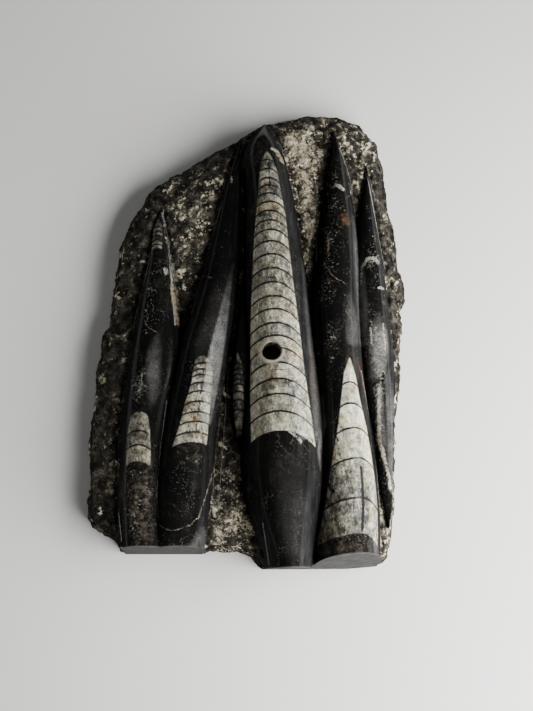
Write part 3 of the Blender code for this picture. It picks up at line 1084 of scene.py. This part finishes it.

# %% [markdown]
# ## Veins and small marks
#
# Some marks are thinner than the mesh's faces, so the material itself draws them. Each is a line of a
# few straight stretches on the plan with a half width, and the material measures how far a place lies
# from it. A little noise pushes the place about first, so that no vein is straight. The thin pale lines
# among them are painted reflections, where polished edges and groove fillets catch the light.

# %% Strokes on the plan, in millimetres
STROKES = {
    "vein": [
        ([(-14.8, -42.7), (-17.3, -59.2), (-18.1, -71.5), (-21.7, -86.3), (-26.2, -100.1), (-30.3, -104.8),
          (-38.1, -107.2), (-43.4, -107.1), (-47.4, -104.2)], 0.16),
        ([(41.9, 35.7), (46, 28.8), (52.4, 24.9)], 0.12),
        ([(40.3, 58.2), (43.2, 55.5), (42.1, 51)], 0.14),
        ([(-57.5, 5.9), (-54.8, 1.6), (-50, -0.5)], 0.12),
        ([(-33, 30), (-26, 32), (-20, 29)], 0.10),
    ],
    # The line strokes are painted reflections: thin pale lines where polished edges and the fillets of the
    # grooves catch the light.
    "line": [
        ([(-49.3, 69.8), (-46.0, 56.4), (-44.5, 41.6), (-42.9, 26.6), (-40.5, 4.2)], 0.35),
        ([(-3.4, 96), (-5.0, 106), (-2.5, 116), (2.0, 124), (7.2, 126.5), (11.9, 122), (17.6, 111),
          (21, 103)], 0.22),
        ([(51.4, 106.7), (55.6, 97.8), (58.3, 85.9), (60.4, 68)], 0.25),
        ([(-9.9, 107.8), (-20.7, 59.2)], 0.16),
        ([(-54.3, 47.9), (-63, 12), (-67.6, -11.5), (-70.9, -57.5), (-71.6, -82.4), (-67.7, -113.2)], 0.13),
        ([(-15.1, 75.6), (-22.2, 49.7), (-31.6, 10.3)], 0.12),
        ([(-44.2, -38.2), (-47.2, -64.5), (-48.8, -88.8), (-47.9, -101.2)], 0.16),
        ([(7.9, -103.8), (9.9, -116.6), (11.2, -125.4)], 0.2),
        ([(38.6, 84), (37.6, 40)], 0.25),
        ([(66.2, 96), (70.5, 72), (74.2, 52), (77, 38)], 0.25),
        ([(-10.8, -14), (-13.8, -62), (-16.5, -100)], 0.2),
        ([(61.4, -22), (68.6, -60), (72, -104)], 0.2),
    ],
    "white": [
        ([(62.8, 36.3), (62.3, 27.1)], 0.5),
        ([(-57.6, -23.3), (-57.5, -28.8)], 0.4),
        ([(-56.5, 12.3), (-56.5, 11.9)], 0.6),
        ([(63.2, 36.8), (65.9, 40.9), (69.2, 41.5), (72.0, 39.0)], 0.9),
        ([(72.3, 24.5), (74.4, 24.6)], 0.9),
        ([(22.1, -57.2), (25.4, -59.4), (27.8, -62.2)], 0.7),
        ([(-46.4, 36), (-46, 33.5)], 1.1),
        ([(-42.9, 40), (-42.4, 30)], 0.9),
        ([(-9.9, 89), (-9.9, 86)], 0.6),
        ([(49.2, 83.1), (53, 80)], 1.0),
        ([(13.6, 103.4), (16, 102)], 1.2),
        ([(69.6, 85.6), (71.2, 83.4), (71.6, 79)], 0.4),
    ],
    "tan": [
        ([(-42.2, 26), (-40.8, 17)], 1.7),
        ([(-40.8, 17), (-39.2, 5.0)], 1.1),
        ([(16.2, 101.6), (18.8, 97)], 1.3),
        ([(43.8, 50), (44.0, 41)], 0.5),
    ],
    "rust": [
        ([(11.3, -24.4), (21.2, -24.7)], 0.22),
        ([(51.6, 64.4), (54, 61.5), (55.4, 60)], 1.0),
        ([(-28.5, -48.5), (-27.8, -49.8)], 0.7),
        ([(59.0, -15), (61.4, -27), (63.6, -36)], 0.3),
        ([(34.0, -16), (34.6, -26), (33.6, -34)], 0.25),
    ],
    "cream": [
        ([(71.0, -32), (70.8, -47)], 0.7),
        ([(70.8, -47), (71.2, -60), (73.8, -70)], 1.0),
        ([(73.8, -70), (76.2, -79), (77.0, -85)], 0.7),
        ([(66.5, 2), (68.0, -8)], 0.4),
        ([(74.0, 4), (75.0, -10)], 0.4),
    ],
    "slit": [
        ([(59.6, -75), (60.4, -84), (60.5, -96), (59.9, -107)], 0.75),
    ],
    "dark": [
        ([(11.2, 94), (11.7, 78)], 0.45),
        ([(-24.0, -22), (-26.0, -40), (-27.9, -57)], 0.28),
        ([(-26.2, -24), (-28.2, -42), (-30.1, -60)], 0.16),
        ([(42.0, -82), (45, -87.5)], 0.9),
        ([(46.3, -57.5), (47.6, -61)], 0.6),
        ([(43.6, -72), (45.8, -75.5)], 0.5),
    ],
    "block": [
        ([(25.5, 113), (29, 107)], 5.0),
        ([(31, 101), (35, 98)], 3.2),
        ([(30, 92), (32, 88)], 3.0),
        ([(33, 82), (35.4, 72)], 2.6),
        ([(33, 67), (35, 55)], 2.0),
        ([(33.7, 46), (34, 42)], 2.0),
    ],
}
print(sum(len(line) - 1 for table in STROKES.values() for line, _ in table), "straight stretches")

# %% [markdown]
# ## The three kinds of stone
#
# Each kind is a colour worked out from noises of several sizes. The polish turns limestone black, and
# pale grains, broken shell and hairline veins show in it. The shell's calcite is cloudy crystal with
# dark stains that branch along the fossil. Where nothing was ground, the limestone is brown-grey and
# crumbly, with cream flakes of shell.

# %% Black limestone
def black_limestone(f, brown, mottle):
    """Nearly black, with lengthwise streaks, pale grains, broken shell and hairline veins."""
    streaks = f.noise(9, 5, 0.6) * 0.6 + f.noise(1.6, 3, 0.65, stretch=(1, 0.07, 0.3)) * 0.4
    dark = f.ramp(streaks, [(0.3, (0.0022, 0.0023, 0.0025)), (0.55, (0.0045, 0.0044, 0.0042)),
                            (0.75, (0.017, 0.016, 0.014))])
    mottled = f.ramp(f.noise(3.2, 6, 0.72, shift=(7, 1, 3)), [
        (0.38, (0.004, 0.0038, 0.0036)), (0.52, (0.026, 0.022, 0.017)), (0.66, (0.13, 0.112, 0.085))])
    colour = f.mix(brown * 0.8, dark, mottled)
    shell = f.noise(1.5, 6, 0.78, shift=(2, 6, 1)) * 0.72 + f.noise(7, 3, shift=(5, 2, 8)) * 0.28
    bits = (shell + mottle * 0.16).step(0.60, 0.68)
    pale = f.ramp(f.noise(0.9, 4, 0.7, shift=(3, 1, 1)), [
        (0.35, (0.03, 0.029, 0.026)), (0.65, (0.34, 0.33, 0.29))])
    colour = f.mix(bits * 0.85, colour, pale)
    vein = (f.noise(15, 4, 0.5, shift=(6, 2, 4)) - 0.5).size().step(0.006, 0.001)
    vein = vein * f.noise(20, 2, shift=(1, 9, 4)).step(0.48, 0.6)
    colour = f.mix(vein * 0.3, colour, (0.12, 0.105, 0.08))
    grains = f.cells(1.2).step(0.22, 0.08) * (f.noise(12, 2, shift=(4, 2, 9)) + mottle * 0.2).step(0.48, 0.7)
    return f.mix(grains * 0.4, colour, (0.30, 0.29, 0.26))


print("limestone: streaks, brown mottling, broken shell, hairline veins and grains")

# %% Calcite and its chamber walls
def calcite(f, n):
    """Pale crystal, cloudy and grained, a little different in every chamber, with branching stains."""
    specks = f.noise(1.4, 6, 0.8, shift=(1, 5, 2))
    own = f.node("ShaderNodeTexWhiteNoise", {"noise_dimensions": "1D"}, {"W": n.chamber.math("FLOOR")})
    cloud = f.noise(5, 6, 0.7, shift=(3, 8, 1)) * 0.55 + specks * 0.45
    # n.tone carries painted light on steep flanks, so the cloud there turns paler, with more glints and
    # fewer stains.
    cloud = cloud + (own - 0.5) * 0.07 + (n.tone - 0.66) * 0.3
    cloud = cloud + (f.noise(2.0, 5, 0.8, shift=(2, 1, 6), stretch=(1, 0.4, 1)) - 0.5) * 0.3
    colour = f.ramp(cloud, [
        (0.30, (0.010, 0.011, 0.013)), (0.39, (0.050, 0.050, 0.045)), (0.47, (0.157, 0.153, 0.126)),
        (0.54, (0.30, 0.292, 0.24)), (0.63, (0.50, 0.488, 0.40)), (0.76, (0.72, 0.71, 0.61))])
    butter = f.noise(11, 4, 0.6, shift=(3, 3, 9)).step(0.46, 0.62) * 0.8
    colour = f.mix(butter, colour, (1.0, 0.955, 0.80), "MULTIPLY")
    tan = f.noise(7, 5, 0.65, shift=(9, 9, 4)).step(0.5, 0.66) * (own * 0.6 + 0.15)
    colour = f.mix(tan.most(n.brown * 0.8), colour, (0.70, 0.48, 0.24), "MULTIPLY")
    glint = f.noise(2.2, 5, 0.75, shift=(7, 3, 9), stretch=(1, 0.4, 1)).step(0.56, 0.62)
    colour = f.mix(glint * n.tone * 0.6, colour, (0.84, 0.83, 0.72))
    branch = f.noise(1.0, 5, 0.8, shift=(4, 4, 7), stretch=(1, 0.38, 1)).step(0.545, 0.585)
    branch = branch * (f.noise(8, 4, 0.6, shift=(8, 2, 2)) - (n.tone - 0.6) * 0.5).step(0.39, 0.53)
    return f.mix(branch * 0.92, colour, (0.010, 0.012, 0.017))


def with_walls(f, n, colour):
    """Dark lines where the chamber number is whole, |fraction - 1/2| * length from one, and the rim."""
    from_wall = (n.chamber + 0.5).math("FRACT") - 0.5
    gap = (from_wall * n.length + f.jitter(0.8, 2.5, (2, 2, 2))).size()
    walls = gap.step(0.72, 0.35) * f.noise(5, 4, shift=(6, 0, 6)).step(0.20, 0.42)
    rim = n.inside.step(0.6, 0.15) * 0.75
    return f.mix(walls.most(rim), colour, (0.008, 0.0078, 0.0075))


print("calcite: cloud, butter, tan, glints and branching stains, then the walls")

# %% Rough rock
FLAKES = [(1.6, (9, 4, 0), 0.99), (2.8, (3, 1, 0), 1.02), (6.5, (5, 2, 0), 0.92)]


def rough_rock(f, pale, scallop):
    """Broken limestone: dark grains, brown dust, painted shade in the hollows of its scallops with painted
    light on their ridges, and cream flakes of broken shell. A flake's row holds its size, a shift and the
    least chance that a cell shows as one."""
    dust = f.noise(4, 5, 0.72, shift=(5, 5, 5)) * 0.4 + f.noise(1.3, 5, 0.85, shift=(8, 1, 7)) * 0.6
    # (scallop - 0.4) * 0.20 is painted shade: the colour darkens in the hollows of the scalloped relief and
    # pales on its ridges.
    colour = f.ramp(dust + pale * 0.06 + (scallop - 0.4) * 0.20, [
        (0.40, (0.004, 0.004, 0.004)), (0.50, (0.016, 0.015, 0.0135)), (0.58, (0.055, 0.050, 0.040)),
        (0.66, (0.15, 0.133, 0.10)), (0.74, (0.36, 0.33, 0.26))])
    for size, shift, least in FLAKES:
        where = f.warped(2.4 * size, size * 0.8, shift)
        chance = f.cell_number(size, where)
        edge = f.cells(size, where, "DISTANCE_TO_EDGE").step(0.04, 0.22)
        shade = f.noise(size * 0.6, 5, 0.68, shift=shift)
        flake = (chance + pale * 0.40).step(least - 0.06, least + 0.06) * edge * shade.step(0.40, 0.54)
        cream = f.ramp(shade + chance * 0.10 + pale * 0.03, [
            (0.46, (0.05, 0.038, 0.022)), (0.55, (0.27, 0.225, 0.14)), (0.63, (0.88, 0.80, 0.61))])
        colour = f.mix(flake * 0.92, colour, cream)
    return colour


print(len(FLAKES), "sizes of flake, in mm:", [size for size, _, _ in FLAKES])

# %% [markdown]
# ## The stone's finish
#
# One material covers the stone, because it is one rock, and it is built up in layers. Masks choose
# between rock and polish, and between black stone and shell. The marks are painted over both. The flat
# faces and the hole come last, because sawing and drilling cut through everything.
#
# A polished flank that faces sideways would mirror the table as a grey band. Real flanks are worn by
# hands and dust, so the steep places fade into a matt shader. A faint grey added to their colour is a
# painted sheen, in place of the light that the polish would still catch.

# %% Marks
# The line colour is a painted reflection, the pale grey of polished edges catching the light.
MARK_COLOURS = {"vein": (0.17, 0.145, 0.10), "line": (0.19, 0.192, 0.188), "white": (0.23, 0.225, 0.19),
                "tan": (0.21, 0.175, 0.115), "cream": (0.40, 0.36, 0.29), "block": (0.62, 0.54, 0.39),
                "rust": (0.065, 0.025, 0.011), "dark": (0.009, 0.009, 0.010),
                "slit": (0.012, 0.012, 0.013)}


def add_marks(f, colour, names, ragged, worn):
    """Paints the named strokes over the colour, with ragged edges and worn gaps."""
    where = f.plan(ragged, 2.0)
    shade = f.noise(1.0, 4, 0.75, shift=(6, 3, 3)).step(0.3, 0.7) * 1.3 + 0.2
    gaps = f.noise(2.6, 4, 0.7, shift=(1, 8, 3)).step(worn - 0.1, worn + 0.1)
    for name in names:
        mark = f.strokes(where, STROKES[name], ragged).step(0.22, -0.22)
        tint = f.node("ShaderNodeCombineColor", {}, [shade * part for part in MARK_COLOURS[name]])
        colour = f.mix(mark * gaps, colour, tint)
    return colour


print("marks:", ", ".join(MARK_COLOURS))

# %% Masks, colour, gloss and relief
READ = ("inside", "chamber", "length", "tone", "over", "below", "pale", "brown", "mottle", "ground",
        "scuff", "drilled", "halo", "steep")


def masks(f):
    """The numbers that the material reads from the mesh, and the masks made from them."""
    n = SimpleNamespace(**{name: f.number(name) for name in READ})
    ragged = f.jitter(0.5, 1.2, (3, 3, 3))
    # scallop: the rock's scalloped relief, whose hollows also get painted shade in the rock's colour.
    n.scallop = f.cells(5.0, f.warped(4.0, 4.0, (4, 4, 4)))
    n.fossil = (n.inside + ragged).step(-0.12, 0.12)
    n.polished = (n.over + ragged * 1.4).step(-0.3, 0.3) * n.below.step(3.0, 1.5)
    grain = f.noise(0.8, 4, 0.8, shift=(5, 9, 5)) * 0.7 + f.noise(5, 4, shift=(2, 9, 9)) * 0.3
    # Dull scuffs and painted sheen along polished flanks and shell crests, broken up by grain.
    n.dull = n.scuff * grain.step(0.30, 0.72)
    n.pale = f.blend(n.below.step(20, 3), -0.15, n.pale)
    return n


def polished_colour(f, n):
    """Black stone and shell, greyer where the wheel missed and where sheen is painted on, with painted
    highlights on the shell, and a pale ring round the hole that is partly dust and partly painted light.
    """
    # Grey over the black stone: dull scuffs, and painted sheen and reflections on the polished flanks.
    black = f.mix(n.dull, black_limestone(f, n.brown, n.mottle), (0.20, 0.20, 0.193))
    shell = with_walls(f, n, calcite(f, n))
    # Painted highlights on the shell's crest, from the same bands.
    shell = f.mix(n.dull * 0.3, shell, (0.80, 0.80, 0.74))
    # A pale ring round the hole, partly dust and partly painted light on the worn rim.
    shell = f.mix(n.halo * 0.7, shell, (0.66, 0.61, 0.47))
    return f.mix(n.fossil, black, shell)


def surface_colour(f, n):
    """Rock and polish, the marks over them, then the sawn and ground faces and the dusty hole."""
    rock = add_marks(f, rough_rock(f, n.pale, n.scallop), ("block",), 7.0, 0.5)
    surface = f.mix(n.polished, rock, polished_colour(f, n))
    # Painted reflections along polished edges and groove fillets, and the dark slit.
    surface = add_marks(f, surface, ("line", "slit"), 0.6, 0.3)
    surface = add_marks(f, surface, ("vein", "white", "tan", "cream", "rust", "dark"), 2.4, 0.42)
    sawn = f.ramp(f.noise(4, 6, 0.7), [(0.3, (0.032, 0.032, 0.032)), (0.7, (0.078, 0.077, 0.074))])
    surface = f.mix(n.ground, surface, sawn)
    dust = f.ramp(f.noise(1.6, 5, 0.75, shift=(7, 3, 1)), [
        (0.35, (0.10, 0.09, 0.065)), (0.65, (0.48, 0.45, 0.36))])
    return f.mix(n.drilled, surface, dust)


def surface_roughness(f, n):
    """Glossy where polished, less so on shell, on scuffs and painted sheen and on steep flanks, and matt on
    everything else.
    """
    wear = f.noise(6, 4, 0.7, shift=(0, 4, 4), stretch=(1, 0.35, 1))
    gloss = f.blend(n.fossil, f.blend(wear.step(0.4, 0.75), 0.15, 0.30), 0.30)
    roughness = f.blend(n.polished, 0.8, gloss.most(n.dull * 0.5).most(n.steep * 0.8))
    return f.blend(n.ground.most(n.drilled), roughness, 0.6)


def surface_relief(f, n):
    """Scalloped flakes on the rock, and grit on all but the polish and the flat faces."""
    bare = (1 - n.polished) * (1 - n.ground)
    relief = n.scallop * (n.pale * 1.4 + 0.5) + f.noise(3.0, 5, 0.7, shift=(6, 6, 2))
    coarse = f.bump(relief * bare, 2.8)
    grit = f.noise(1.1, 5, 0.75, shift=(2, 7, 7))
    return f.bump(grit * f.blend(n.polished.most(n.ground * 0.8), 1.0, 0.03), 0.8, coarse)


print(len(READ), "numbers are read from the mesh")

# %% The whole finish
def stone_finish():
    """The polished shader, fading where the surface is steep into a matt one whose colour has a faint
    painted sheen added.
    """
    f = Finish("orthoceras limestone")
    n = masks(f)
    surface, roughness, relief = surface_colour(f, n), surface_roughness(f, n), surface_relief(f, n)
    f.finish(Base_Color=surface, Roughness=roughness, Specular_IOR_Level=0.28, Normal=relief)
    # Painted sheen: a faint streaky grey added to the polished black, shown where the flanks turn matt.
    painted_sheen = f.noise(1.6, 4, 0.65, shift=(2, 2, 8), stretch=(1, 0.06, 0.3)).step(0.35, 0.65) * 0.8 + 0.2
    with_painted_sheen = f.mix(n.polished * (1 - n.fossil) * painted_sheen, surface, (0.011, 0.0113, 0.0123), "ADD")
    matt = f.node("ShaderNodeBsdfPrincipled", {}, {
        "Base Color": with_painted_sheen, "Roughness": 1.0, "Specular IOR Level": 0.0, "Normal": relief})
    both = f.node("ShaderNodeMixShader", {}, [n.steep, Value(f, f.shader.outputs["BSDF"]), matt])
    f.join(f.nodes["Material Output"].inputs["Surface"], both)
    return f.material


finish = stone_finish()
stone.data.materials.clear()
stone.data.materials.append(finish)
stone.data.shade_smooth()
stone.data.set_sharp_from_angle(angle=math.radians(50))
print(len(finish.node_tree.nodes), "nodes in the stone's finish")

# %% Hand over
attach(stone, "root")
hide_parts("fossil_stone")
